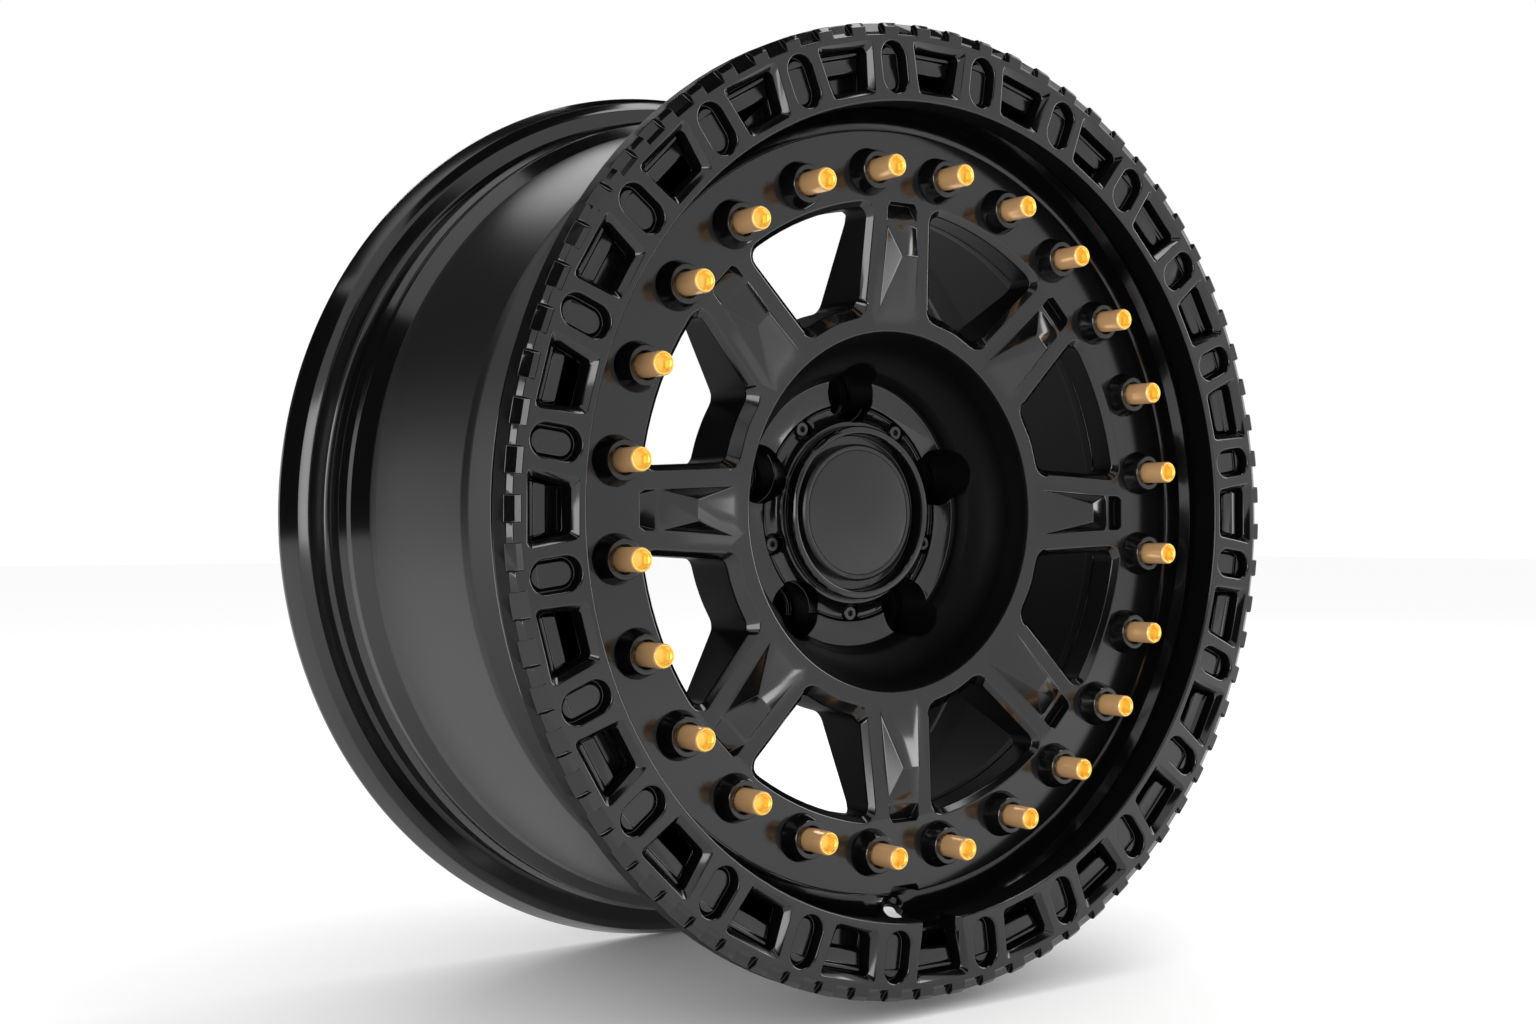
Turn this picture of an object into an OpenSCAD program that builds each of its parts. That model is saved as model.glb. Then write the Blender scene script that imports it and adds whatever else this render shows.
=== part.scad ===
// Deep off-road alloy wheel, built as a bolted wheel: a centre disc, two rim halves, a front
// guard ring, twenty-four assembly bolts with their collars, and a screwed centre cap.
// Each piece is drawn with its axis along z and its street side up, then turned upright,
// so that the street side looks along -Y, the car side along +Y, and +Z is up.

/* [Rim] */
// Diameter of the bead seats, both sides
bead_d = 462; // [456:0.1:465]
// Height of the rear tyre flange above its bead seat
flange_h = 19.5; // [17:0.5:21]
// Overall width, from the guard ring's face to the rear lip
overall_w = 247.5; // [245:0.5:251]
// Thickness of each rim half's bolting flange
joint_t = 6; // [5:0.5:8]
// Distance between the tyre beads
bead_w = 203.2; // [200:0.1:205]
// Radius of the barrel beside the rear bead seat
barrel_r = 222; // [219:0.5:224]
// Radius of the barrel beside the well
waist_r = 217; // [214:0.5:218.5]
// Radius of the well
well_r = 203; // [199:0.5:205]
// Inner radius of the bolting flanges
joint_r = 157; // [156.8:0.1:159]
// Inner radius of the lip wall, street side
lip_r = 207.5; // [206.5:0.5:208.5]
// Wall of the barrel
barrel_t = 5.5; // [4.5:0.5:7]

/* [Guard ring] */
// Outer radius of the guard ring
ring_r = 242.7; // [241.5:0.1:245]
// Inner radius of the guard ring
ring_in_r = 203.9; // [202.5:0.1:205.5]
// Thickness of the guard ring
ring_t = 15; // [14.5:0.1:16.5]
// How far the knurl's pockets reach in from the ring's edge
knurl_reach = 6.5; // [5:0.1:7]
// Depth of the knurl's pockets at the ring's edge
knurl_depth = 4.6; // [3.6:0.1:5.2]
// Width of the knurl's pockets
knurl_w = 12; // [9:0.1:13]

/* [Centre disc] */
// Radius of the assembly bolts' circle
bolt_circle_r = 173.5; // [172:0.5:175]
// Radius of the disc's outer edge
disc_r = 195.5; // [190:0.5:197]
// Distance from the ring's face back to the disc's flat face
dish = 29.3; // [27:0.1:31]
// Thickness of the disc at the bolts
disc_t = 12; // [10:0.5:13]
// Radius of the windows' outer edge
window_out_r = 159.7; // [157:0.1:161]
// Radius of the windows' inner edge
window_in_r = 101.5; // [98:0.1:105]
// Half width of a spoke at the windows' outer edge
spoke_hw_out = 17.8; // [15:0.1:20]
// Half width of a spoke at the windows' inner edge
spoke_hw_in = 20.4; // [18:0.1:23]
// Radius of the hub bowl's edge
bowl_r = 92.2; // [90:0.1:95]

/* [Hub] */
// Diameter of the circle of the wheel studs
stud_pcd = 127; // [124:1:130]
// Diameter of the stud holes
stud_hole_d = 14.5; // [13:0.5:16]
// Radius of the wheel nuts' pockets
nut_pocket_r = 15; // [13.5:0.5:15.5]
// Diameter of the centre bore
bore_d = 71.5; // [66:0.1:75]
// Distance of the mounting face from the wheel's middle plane, towards the street
mount_face = 12.6; // [10:0.1:15]

/* [Centre cap] */
// Outer radius of the cap's bezel
bezel_r = 45.8; // [44:0.1:47]
// Radius of the cap's inset disc
inset_r = 36.3; // [34:0.1:38]
// Radius of the circle of the cap's screws
cap_screw_circle_r = 53.6; // [53:0.1:54]

/* [Bolts] */
// Diameter of the assembly bolts' heads
head_d = 11.5; // [10.5:0.1:12.4]
// Diameter of the assembly bolts' shanks
shank_d = 8; // [7:0.5:8.5]
// Radius of a bolt collar at its foot
collar_foot_r = 12.1; // [11:0.1:13]
// Height of a bolt collar
collar_h = 8.8; // [8:0.1:10]

/* [Hidden] */
$fn = 96;

bolt_count = 24;
spoke_count = 8;
stud_count = 5;
pitch_bolt = 360 / bolt_count;
pitch_spoke = 360 / spoke_count;
pitch_stud = 360 / stud_count;
knurl_count = 3 * bolt_count;
valve_angle = 270;

// Radii of the rim
bead_r = bead_d / 2;
rear_flange_r = bead_r + flange_h;
front_flange_r = bead_r + 7.5;

// Heights along the axis, from the wheel's middle plane towards the street
face_z = overall_w / 2;
rear_z = -overall_w / 2;
front_flange_z = face_z - ring_t;
front_bead_z = front_flange_z - 6.5;
outer_back_z = front_bead_z - 17;
rear_bead_z = front_bead_z - bead_w;
disc_z = face_z - dish;
disc_back_z = disc_z - disc_t;
joint_z = disc_back_z - joint_t;
joint_back_z = joint_z - joint_t;
bowl_z = disc_z - 5.9;
pad_z = bowl_z - 37.6;
cap_seat_z = pad_z - 8;
nut_seat_z = pad_z - 24;
bezel_z = pad_z + 9;
collar_z = disc_z + collar_h;
head_seat_z = disc_z + 4;
head_z = collar_z + 14.6;

// Clearances between pieces
slip = 0.3;

// Points of an arc about (cx, cy) from angle a0 to a1, in n steps
function arc(cx, cy, r, a0, a1, n) =
    [for (i = [0:n]) [cx + r * cos(a0 + (a1 - a0) * i / n), cy + r * sin(a0 + (a1 - a0) * i / n)]];

// Unit vector along v
function unit(v) = v / norm(v);

// A corner at b between a and c, rounded by radius r in n steps
function corner(a, b, c, r, n) =
    let (u = unit(a - b), w = unit(c - b), half = acos(u * w) / 2,
         o = b + unit(u + w) * r / sin(half), s = b + u * r / tan(half), e = b + w * r / tan(half),
         a0 = atan2(s[1] - o[1], s[0] - o[0]), a1 = atan2(e[1] - o[1], e[0] - o[0]),
         turn = (a1 - a0 + 900) % 360 - 180)
    arc(o[0], o[1], r, a0, a0 + turn, n);

// A polygon with each corner rounded by its own radius
function rounded(pts, radii, n) =
    let (m = len(pts))
    [for (i = [0:m - 1]) each corner(pts[(i + m - 1) % m], pts[i], pts[(i + 1) % m], radii[i], n)];

// Outline of a trapezoid across the x axis, from x0 to x1 with half widths h0 and h1
function trapezoid(x0, x1, h0, h1, r, n) =
    rounded([[x0, -h0], [x1, -h1], [x1, h1], [x0, h0]], [r, r, r, r], n);

// A flat outline lifted to a ring of points at height z
function lift(pts, z) = [for (p = pts) [p[0], p[1], z]];

// Mean of a list of points
function mean(pts) = [for (k = [0:2]) [for (p = pts) p[k]] * [for (p = pts) 1] / len(pts)];

// A solid between stacked rings of points, lowest first, each seen turning left from above
module skin(rings) {
    n = len(rings[0]);
    m = len(rings);
    body = [for (ring = rings) each ring];
    pts = concat(body, [mean(rings[0]), mean(rings[m - 1])]);
    low = n * m;
    high = low + 1;
    polyhedron(points = pts, convexity = 6, faces = concat(
        [for (i = [0:n - 1]) [low, i, (i + 1) % n]],
        [for (i = [0:n - 1]) [high, (m - 1) * n + (i + 1) % n, (m - 1) * n + i]],
        [for (k = [0:m - 2]) for (i = [0:n - 1]) [k * n + i, k * n + n + i, k * n + n + (i + 1) % n]],
        [for (k = [0:m - 2]) for (i = [0:n - 1]) [k * n + i, k * n + n + (i + 1) % n, k * n + (i + 1) % n]]));
}

// Turns a piece drawn lying street side up into the upright wheel
module upright() {
    rotate([90, 0, 0]) children();
}

// Repeats its children n times round the axis, starting at angle a
module round_axis(n, a = 0) {
    for (i = [0:n - 1]) rotate([0, 0, a + 360 / n * i]) children();
}

// A ring of rectangular section
module band(r0, r1, z0, z1) {
    rotate_extrude() translate([r0, z0]) square([r1 - r0, z1 - z0]);
}

// Rim halves
// The section runs from the joint back along the inside to the lip, then along the tyre side
module inner_rim_half() {
    lip_in_r = barrel_r + 3;
    slope_z = joint_back_z - 32.45;
    slope_ease = 1.4;
    color("dimgray") upright() difference() {
        rotate_extrude() polygon(concat(
            [[joint_r, joint_z], [joint_r, joint_back_z], [well_r - 14, joint_back_z]],
            [[well_r - barrel_t, joint_back_z - 7], [well_r - barrel_t, slope_z + 12]],
            [[well_r - barrel_t + slope_ease, slope_z + 2], [waist_r - barrel_t - slope_ease, slope_z - 10.5]],
            [[waist_r - barrel_t, slope_z - 16], [barrel_r - barrel_t, rear_bead_z + 42]],
            [[barrel_r - barrel_t, rear_bead_z + 22], [lip_in_r, rear_bead_z + 8], [lip_in_r, rear_bead_z - 3]],
            [[rear_flange_r - 9, rear_z], [rear_flange_r - 3.4, rear_z]],
            arc(rear_flange_r - 3.4, rear_z + 3.4, 3.4, -70, 50, 5),
            [[rear_flange_r - 4.5, rear_bead_z - 4], [rear_flange_r - 8, rear_bead_z - 1]],
            [[rear_flange_r - 9.5, rear_bead_z]],
            [[bead_r + 2, rear_bead_z], [bead_r, rear_bead_z + 2], [bead_r - 0.8, rear_bead_z + 12]],
            arc(bead_r - 2, rear_bead_z + 16.5, 3, 70, 10, 3),
            [[bead_r - 1.5, rear_bead_z + 22], [bead_r - 1.9, rear_bead_z + 27]],
            [[barrel_r + 0.8, rear_bead_z + 37], [barrel_r, rear_bead_z + 42]],
            [[waist_r, slope_z - 11], [waist_r - slope_ease, slope_z - 7]],
            [[well_r + slope_ease, slope_z + 5.5], [well_r, slope_z + 9.5]],
            [[well_r, joint_z - 1.5], [well_r - 1.5, joint_z]]));
        round_axis(bolt_count, pitch_bolt / 2) translate([bolt_circle_r, 0, joint_back_z - 1])
            cylinder(d = shank_d + 2 * slip, h = joint_t + 2);
        seal_groove();
    }
}

// Groove for the seal, half in each rim half
seal_r = 184.5;
seal_wire_r = 1.4;
module seal_groove() {
    band(seal_r - seal_wire_r - slip, seal_r + seal_wire_r + slip,
         joint_z - seal_wire_r - slip, joint_z + seal_wire_r + slip);
}

module rim_seal() {
    color("black") upright() rotate_extrude() translate([seal_r, joint_z]) circle(r = seal_wire_r, $fn = 24);
}

lip_fillet = 11;
lip_step = 3;
lip_step_h = 5.3;
module outer_rim_half() {
    fillet_x = lip_r - lip_fillet;
    fillet_z = disc_back_z + lip_fillet;
    color("black") upright() difference() {
        rotate_extrude() polygon(concat(
            [[joint_r, joint_z], [joint_r, disc_back_z]],
            arc(fillet_x, fillet_z, lip_fillet, -90, 0, 8),
            [[lip_r + lip_step, fillet_z + lip_step_h], [lip_r + lip_step, front_flange_z]],
            [[front_flange_r - 0.6, front_flange_z], [front_flange_r, front_flange_z - 0.6]],
            [[front_flange_r, front_bead_z + 2], [front_flange_r - 2, front_bead_z]],
            [[bead_r + 1.5, front_bead_z], [bead_r, front_bead_z - 1.5], [bead_r - 0.6, front_bead_z - 13]],
            arc(bead_r - 1.5, front_bead_z - 15, 2.5, 20, -40, 3),
            [[bead_r - 2.2, outer_back_z], [bead_r - 18, outer_back_z]],
            [[well_r + 6, joint_z + 1.5], [well_r, joint_z]]));
        round_axis(bolt_count, pitch_bolt / 2) translate([bolt_circle_r, 0, joint_z - 1])
            cylinder(d = shank_d + 2 * slip, h = joint_t + 2);
        seal_groove();
        round_axis(bolt_count, pitch_bolt / 2) ring_screw_hole(front_flange_z + 1);
        valve_hole();
    }
}

// Valve hole through the corner of the lip, with a countersunk mouth and a spot face behind
valve_d = 11.4;
valve_tilt = 50;
valve_wall = 4.5;
module valve_hole() {
    mouth_r = lip_r - lip_fillet + lip_fillet * sin(valve_tilt);
    mouth_z = disc_back_z + lip_fillet - lip_fillet * cos(valve_tilt);
    rotate([0, 0, valve_angle]) translate([mouth_r, 0, mouth_z]) rotate([0, 180 - valve_tilt, 0]) {
        translate([0, 0, -8]) cylinder(d = valve_d, h = 40);
        translate([0, 0, -8]) cylinder(r = 8, h = 7.2);
        translate([0, 0, -0.8]) cylinder(r1 = 8, r2 = valve_d / 2, h = 2.3);
        translate([0, 0, valve_wall]) cylinder(r = 8.5, h = 20);
    }
}

// Guard ring
// Radii of a window at the face, its half widths, its bevel, and the floor behind its island
rw_out = ring_r - 9.3;
rw_in = ring_in_r + 3.5;
rw_hw_out = 17.7;
rw_hw_in = 13.1;
rw_bevel = 3;
ring_floor_t = 4;
ring_edge = 2.5;
module guard_ring() {
    back_z = front_flange_z;
    color("#2b2b2b") upright() difference() {
        union() {
            difference() {
                rotate_extrude() polygon([
                    [ring_in_r, back_z], [ring_r - 0.8, back_z], [ring_r, back_z + 0.8],
                    [ring_r, face_z - ring_edge], [ring_r - ring_edge, face_z],
                    [ring_in_r + 0.8, face_z], [ring_in_r, face_z - 0.8]]);
                round_axis(bolt_count) ring_window();
                round_axis(bolt_count, pitch_bolt / 2) oval(oval_depth, oval_half, oval_r, 1 + oval_depth);
                round_axis(bolt_count, pitch_bolt / 2) oval_mouth();
            }
            round_axis(bolt_count) ring_island();
            round_axis(bolt_count, pitch_bolt / 2) oval_pad();
        }
        round_axis(knurl_count) knurl_pocket();
        round_axis(bolt_count, pitch_bolt / 2) ring_screw_hole(face_z - oval_depth - oval_floor_t);
        valve_notch();
    }
}

// A bevelled window, open to the back on its inner part
module ring_window() {
    face = trapezoid(rw_in - 1, rw_out + 1, rw_hw_in + 1, rw_hw_out + 1, 2.2, 2);
    throat = trapezoid(rw_in + rw_bevel, rw_out - rw_bevel, rw_hw_in - rw_bevel + 0.5,
                       rw_hw_out - rw_bevel, 2.2, 2);
    skin([lift(throat, face_z - rw_bevel), lift(face, face_z + 1)]);
    translate([0, 0, face_z - ring_t + ring_floor_t])
        linear_extrude(height = ring_t - ring_floor_t - rw_bevel + 0.5) polygon(throat);
    translate([0, 0, face_z - ring_t - 1]) linear_extrude(height = ring_t - 4)
        polygon(trapezoid(rw_in + rw_bevel + 0.2, island_in, rw_hw_in - rw_bevel, 11, 1.5, 2));
}

// The raised island on the outer part of each window's floor: a wide flat and a higher strip
island_in = rw_in + 11.8;
island_out = rw_out - 3.4;
island_top = 8.2;
strip_in = rw_out - 7;
strip_h = 1.5;
module ring_island() {
    low_z = face_z - ring_t + 2;
    top_z = face_z - island_top;
    skin([lift(island(0), low_z), lift(island(0), top_z - 1), lift(island(1), top_z)]);
    linear_step(strip_in, top_z - 0.5, top_z + strip_h);
}
function island(inset) =
    trapezoid(island_in + inset, island_out - inset, 11.5 - inset, 13.6 - inset, 2 - inset, 2);

// The strip at an island's outer end, sloping on all sides
module linear_step(x0, low_z, top_z) {
    low = [[x0, -12.5], [island_out - 0.2, -13.2], [island_out - 0.2, 13.2], [x0, 12.5]];
    top = [[x0 + 1.1, -11.9], [island_out - 0.9, -12.4], [island_out - 0.9, 12.4], [x0 + 1.1, 11.9]];
    skin([lift(low, low_z), lift(low, low_z + 0.4), lift(top, top_z)]);
}

// An oval recess with a pad on its floor, each with a bevelled edge, and a step on the pad
oval_c = ring_r - 22;
oval_half = 12.6;
oval_r = 7.5;
oval_depth = 7.2;
oval_floor_t = 1.6;
oval_mouth_bevel = 0.8;
pad_h = 1.6;
pad_bevel = 0.8;
oval_step = rw_out - 5.8;
module oval(depth, half, r, h) {
    translate([oval_c, 0, face_z - depth]) linear_extrude(height = h) union() {
        translate([half - r, 0]) circle(r = r);
        translate([r - half, 0]) circle(r = r);
        square([2 * (half - r), 2 * r], center = true);
    }
}
module oval_bevel(z, half, r, r_top, h) {
    for (x = [r - half, half - r]) translate([oval_c + x, 0, z]) cylinder(r1 = r, r2 = r_top, h = h);
    translate([oval_c - half + r, 0, z]) rotate([90, 0, 90]) linear_extrude(height = 2 * (half - r))
        polygon([[-r, 0], [r, 0], [r_top, h], [-r_top, h]]);
}
module oval_mouth() {
    rise = 2 * oval_mouth_bevel;
    oval_bevel(face_z - oval_mouth_bevel, oval_half, oval_r, oval_r + rise, rise);
}
module oval_pad() {
    half = oval_half - 1.3;
    r = oval_r - 1.3;
    top = face_z - oval_depth + pad_h;
    oval(oval_depth + 1, half, r, 1 + pad_h - pad_bevel);
    oval_bevel(top - pad_bevel, half, r, r - pad_bevel, pad_bevel);
    intersection() {
        oval(oval_depth, half - pad_bevel, r - pad_bevel, pad_h + 1.3);
        translate([oval_step, -oval_r, top - 1]) cube([2 * oval_r, 2 * oval_r, 4]);
    }
}

// One pocket of the knurl: a steep inner wall, then a floor that falls to the ring's side
knurl_wall = 2;
module knurl_pocket() {
    in_r = ring_r - knurl_reach;
    crease_z = face_z - knurl_wall - 0.2;
    fall = (knurl_depth - knurl_wall - 0.2) / (knurl_reach - knurl_wall);
    top_z = face_z + 1.1;
    out_r = ring_r + 2;
    translate([0, knurl_w / 2, 0]) rotate([90, 0, 0]) linear_extrude(height = knurl_w) polygon([
        [in_r - 1, top_z], [in_r + knurl_wall, crease_z],
        [out_r, crease_z - fall * (knurl_reach + 2 - knurl_wall)], [out_r, top_z]]);
}

// The window over the valve hole runs out through the ring's bore
module valve_notch() {
    hw = rw_hw_in - rw_bevel;
    rotate([0, 0, valve_angle]) {
        translate([ring_in_r - 3, -hw - 0.4, face_z - ring_t - 1])
            cube([rw_in - ring_in_r + 8, 2 * hw + 0.8, ring_t + 2]);
        skin([lift([[ring_in_r - 3, -hw], [rw_in + 4, -hw - 0.8], [rw_in + 4, hw + 0.8], [ring_in_r - 3, hw]],
                   face_z - rw_bevel),
              lift([[ring_in_r - 3, -rw_hw_in - 0.6], [rw_in + 4, -rw_hw_in - 1.4],
                    [rw_in + 4, rw_hw_in + 1.4], [ring_in_r - 3, rw_hw_in + 0.6]], face_z + 1)]);
    }
}

// Countersunk screws from the tyre side, which hold the guard ring on the outer rim half
ring_screw_r = oval_c;
ring_screw_d = 6;
ring_screw_head_d = 11.3;
ring_screw_head_t = 2.65;
ring_screw_l = 28;
module ring_screw_hole(top_z) {
    hole_d = ring_screw_d + 2 * slip;
    translate([ring_screw_r, 0, outer_back_z - 1]) cylinder(d = hole_d, h = top_z - outer_back_z + 1);
    translate([ring_screw_r, 0, outer_back_z - 0.01])
        cylinder(d1 = ring_screw_head_d + 2 * slip, d2 = hole_d, h = ring_screw_head_t);
}
module ring_screws() {
    head = outer_back_z + 0.1;
    color("black") upright() round_axis(bolt_count, pitch_bolt / 2)
        translate([ring_screw_r, 0, 0]) difference() {
        rotate_extrude($fn = 32) polygon([
            [0, head], [ring_screw_head_d / 2 - 0.1, head], [ring_screw_head_d / 2 - 0.1, head + 0.1],
            [ring_screw_d / 2, head + ring_screw_head_t], [ring_screw_d / 2, head + ring_screw_l - 0.6],
            [ring_screw_d / 2 - 0.6, head + ring_screw_l], [0, head + ring_screw_l]]);
        translate([0, 0, head - 1]) cylinder(d = 4.6, h = 3, $fn = 6);
    }
}

// Centre disc
flat_r = window_out_r - 2;
face_fall = (disc_z - bowl_z) / (flat_r - bowl_r);
function disc_face(r) = r > flat_r ? disc_z : disc_z - (flat_r - r) * face_fall;

module centre_disc() {
    mount_z = mount_face;
    color("#1c1c1c") upright() difference() {
        union() {
            disc_blank(mount_z);
            round_axis(spoke_count) spoke_ridge();
        }
        round_axis(spoke_count, pitch_spoke / 2) window();
        round_axis(spoke_count) spoke_recess();
        round_axis(bolt_count, pitch_bolt / 2) translate([bolt_circle_r, 0, disc_back_z - 1])
            cylinder(d = shank_d + 2 * slip, h = disc_t + 2);
        round_axis(stud_count, 90) nut_pocket(mount_z);
        round_axis(stud_count, 54) translate([cap_screw_circle_r, 0, cap_seat_z - 14])
            cylinder(d = cap_screw_d + 2 * slip, h = 15);
        translate([0, 0, mount_z - 1]) cylinder(d = bore_d, h = 60);
        valve_relief();
    }
}

// The turned blank: flat outer annulus, dished spokes' face, hub bowl, pad and mounting face
module disc_blank(mount_z) {
    spoke_back_z = disc_z - 21;
    hub_back_z = bowl_z - 39;
    rotate_extrude($fn = 144) polygon(concat(
        [[bore_d / 2 - 4, mount_z], [74, mount_z], [78, mount_z + 3], [82, mount_z + 22]],
        [[window_in_r - 2, hub_back_z], [joint_r - slip - 4, spoke_back_z], [joint_r - slip, spoke_back_z + 4]],
        [[joint_r - slip, disc_back_z], [disc_r, disc_back_z]],
        [[disc_r, disc_z - 0.8], [disc_r - 0.8, disc_z], [flat_r, disc_z]],
        [[bowl_r + 0.8, bowl_z], [bowl_r, bowl_z - 0.8], [bowl_r - 2.2, bowl_z - 9]],
        arc(66, pad_z + 30.5, 23.6, -8, -68, 8),
        [[71.8, pad_z + 3.6], [71.8, pad_z + 1.2], [70.6, pad_z]],
        [[57.6, pad_z], [57.6, cap_seat_z], [bore_d / 2 - 4, cap_seat_z]]));
}

// Window between two spokes, in its own frame with its middle along the x axis
win_bevel = 3.2;
win_bevel_in = 5.6;
function window_outline(ro, ri, ho, hi, rco, rci) =
    let (ao = pitch_spoke / 2 - asin(ho / ro), ai = pitch_spoke / 2 - asin(hi / ri),
         go = rco * 1.7 / ro * 57.3, gi = rci * 1.9 / ri * 57.3,
         p = function (r, a) [r * cos(a), r * sin(a)])
    concat(
        corner(p(ri, -ai), p(ro, -ao), p(ro, -ao + go), rco, 5),
        arc(0, 0, ro, -ao + go, ao - go, 8),
        corner(p(ro, ao - go), p(ro, ao), p(ri, ai), rco, 5),
        corner(p(ro, ao), p(ri, ai), p(ri, ai - gi), rci, 5),
        arc(0, 0, ri, ai - gi, -ai + gi, 4),
        corner(p(ri, -ai + gi), p(ri, -ai), p(ro, -ao), rci, 5));

module window() {
    above = 2;
    throat = window_outline(window_out_r - win_bevel, window_in_r + win_bevel_in,
                            spoke_hw_out + win_bevel, spoke_hw_in + win_bevel, 5, 6);
    mouth = window_outline(window_out_r + above, window_in_r - above,
                           spoke_hw_out - above, spoke_hw_in - above, 9, 10);
    depth_in = function (r) r < (window_in_r + window_out_r) / 2 - 20 ? win_bevel_in : win_bevel;
    skin([
        [for (p = throat) [p[0], p[1], disc_face(norm(p)) - depth_in(norm(p))]],
        [for (p = mouth) [p[0], p[1], disc_face(norm(p)) + above]]]);
    translate([0, 0, mount_face - 5]) linear_extrude(height = disc_z - mount_face + 4) polygon(throat);
}

// The cut gem along each spoke: a raised ridge that falls to the hub and to a recess outside
gem_hub_r = 101.7;
gem_hub_hw = 12.3;
gem_ridge_r = 130.5;
gem_ridge_hw = 5.2;
gem_ridge_z = disc_z + 5.8;
gem_end_r = 158.2;
gem_end_hw = 7.2;
gem_end_z = disc_z - 5.1;
gem_side_r = 155.7;
gem_side_hw = 9.5;
gem_tip_hw = 7.7;
gem_fall = (gem_ridge_z - gem_end_z) / (gem_end_r - gem_ridge_r);
gem_cross_r = gem_ridge_r + (gem_ridge_z - disc_face(146)) / gem_fall;
gem_cross_hw = gem_ridge_hw + (gem_end_hw - gem_ridge_hw)
    * (gem_cross_r - gem_ridge_r) / (gem_end_r - gem_ridge_r);
gem_edge_hw = gem_hub_hw + (gem_side_hw - gem_hub_hw)
    * (gem_cross_r - gem_hub_r) / (gem_side_r - gem_hub_r);

module spoke_ridge() {
    base_z = disc_z - 14;
    hub_z = disc_face(gem_hub_r) - 0.4;
    cross_z = disc_face(gem_cross_r) - 0.05;
    sunk = 0.6;
    pts = [
        [gem_hub_r, -gem_hub_hw, hub_z], [gem_hub_r, gem_hub_hw, hub_z],
        [gem_ridge_r, -gem_ridge_hw, gem_ridge_z], [gem_ridge_r, gem_ridge_hw, gem_ridge_z],
        [gem_cross_r, -gem_cross_hw, cross_z], [gem_cross_r, gem_cross_hw, cross_z],
        [gem_cross_r, -gem_edge_hw, cross_z - sunk], [gem_cross_r, gem_edge_hw, cross_z - sunk],
        [gem_hub_r, -gem_hub_hw, base_z], [gem_hub_r, gem_hub_hw, base_z],
        [gem_cross_r, -gem_edge_hw, base_z], [gem_cross_r, gem_edge_hw, base_z]];
    polyhedron(points = pts, convexity = 4, faces = [
        [0, 1, 3], [0, 3, 2], [2, 3, 5], [2, 5, 4],
        [0, 2, 6], [2, 4, 6], [1, 7, 3], [3, 7, 5],
        [4, 5, 7], [4, 7, 6], [6, 7, 11], [6, 11, 10],
        [0, 8, 9], [0, 9, 1], [0, 6, 10], [0, 10, 8], [1, 9, 11], [1, 11, 7], [8, 10, 11], [8, 11, 9]]);
}

module spoke_recess() {
    top_z = disc_z + 3;
    cross_z = disc_face(gem_cross_r) + 0.02;
    floor_z = gem_end_z + 0.02;
    rim = [
        [gem_cross_r, -gem_edge_hw], [gem_side_r, -gem_side_hw], [gem_end_r + 0.4, -gem_tip_hw],
        [gem_end_r + 0.4, gem_tip_hw], [gem_side_r, gem_side_hw], [gem_cross_r, gem_edge_hw],
        [gem_cross_r, gem_cross_hw], [gem_cross_r, -gem_cross_hw]];
    pts = concat(lift(rim, top_z), lift(rim, disc_z), [
        [gem_end_r, -gem_end_hw, floor_z], [gem_end_r, gem_end_hw, floor_z]]);
    polyhedron(points = pts, convexity = 4, faces = concat(
        [[7, 6, 5, 4, 3, 2, 1, 0]],
        [for (i = [0:7]) [i, (i + 1) % 8, 8 + (i + 1) % 8, 8 + i]],
        [[15, 14, 17], [15, 17, 16], [8, 15, 16], [8, 16, 9], [9, 16, 10],
         [10, 16, 17], [10, 17, 11], [11, 17, 12], [12, 17, 13], [13, 17, 14]]));
}

// Pocket for a wheel nut, with a rounded floor edge, a cone seat and the stud hole
cone_r = 12;
module nut_pocket(mount_z) {
    hole_r = stud_hole_d / 2;
    cone_h = (cone_r - hole_r) * 1.732;
    translate([stud_pcd / 2, 0, 0]) rotate_extrude() polygon(concat(
        [[0, mount_z - 1], [hole_r, mount_z - 1], [hole_r, nut_seat_z - cone_h], [cone_r, nut_seat_z]],
        arc(nut_pocket_r - 3, nut_seat_z + 3, 3, -90, 0, 4),
        [[nut_pocket_r, disc_z], [0, disc_z]]));
}

// Relief for the valve in the disc's outer edge
module valve_relief() {
    rotate([0, 0, valve_angle]) translate([0, 0, disc_back_z - 1])
        linear_extrude(height = disc_t + 2) polygon(trapezoid(disc_r - 4, disc_r + 8, 9, 9, 2, 4));
}

// Fasteners
module bolt_collars() {
    color("black") upright() round_axis(bolt_count, pitch_bolt / 2) translate([bolt_circle_r, 0, 0])
        rotate_extrude($fn = 48) polygon([
            [shank_d / 2 + slip, disc_z], [collar_foot_r, disc_z], [collar_foot_r, disc_z + 0.8],
            [collar_foot_r - 2.4, collar_z - 0.5], [collar_foot_r - 2.9, collar_z], [7.1, collar_z],
            [6.7, collar_z - 0.5], [head_d / 2 + 0.5, head_seat_z],
            [shank_d / 2 + slip, head_seat_z]]);
}

nut_h = 6.5;
washer_t = 1.6;
module assembly_bolts() {
    head_r = head_d / 2;
    end_z = joint_back_z - washer_t - nut_h - 2.5;
    color("goldenrod") upright() round_axis(bolt_count, pitch_bolt / 2)
        translate([bolt_circle_r, 0, 0]) difference() {
            rotate_extrude($fn = 48) polygon([
                [0, end_z], [shank_d / 2 - 0.8, end_z],
                [shank_d / 2, end_z + 0.8], [shank_d / 2, head_seat_z],
                [head_r, head_seat_z], [head_r, head_z - 0.7], [head_r - 0.7, head_z], [0, head_z]]);
            translate([0, 0, head_z - 5]) cylinder(d = 6.9, h = 6, $fn = 6);
        }
}

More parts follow.
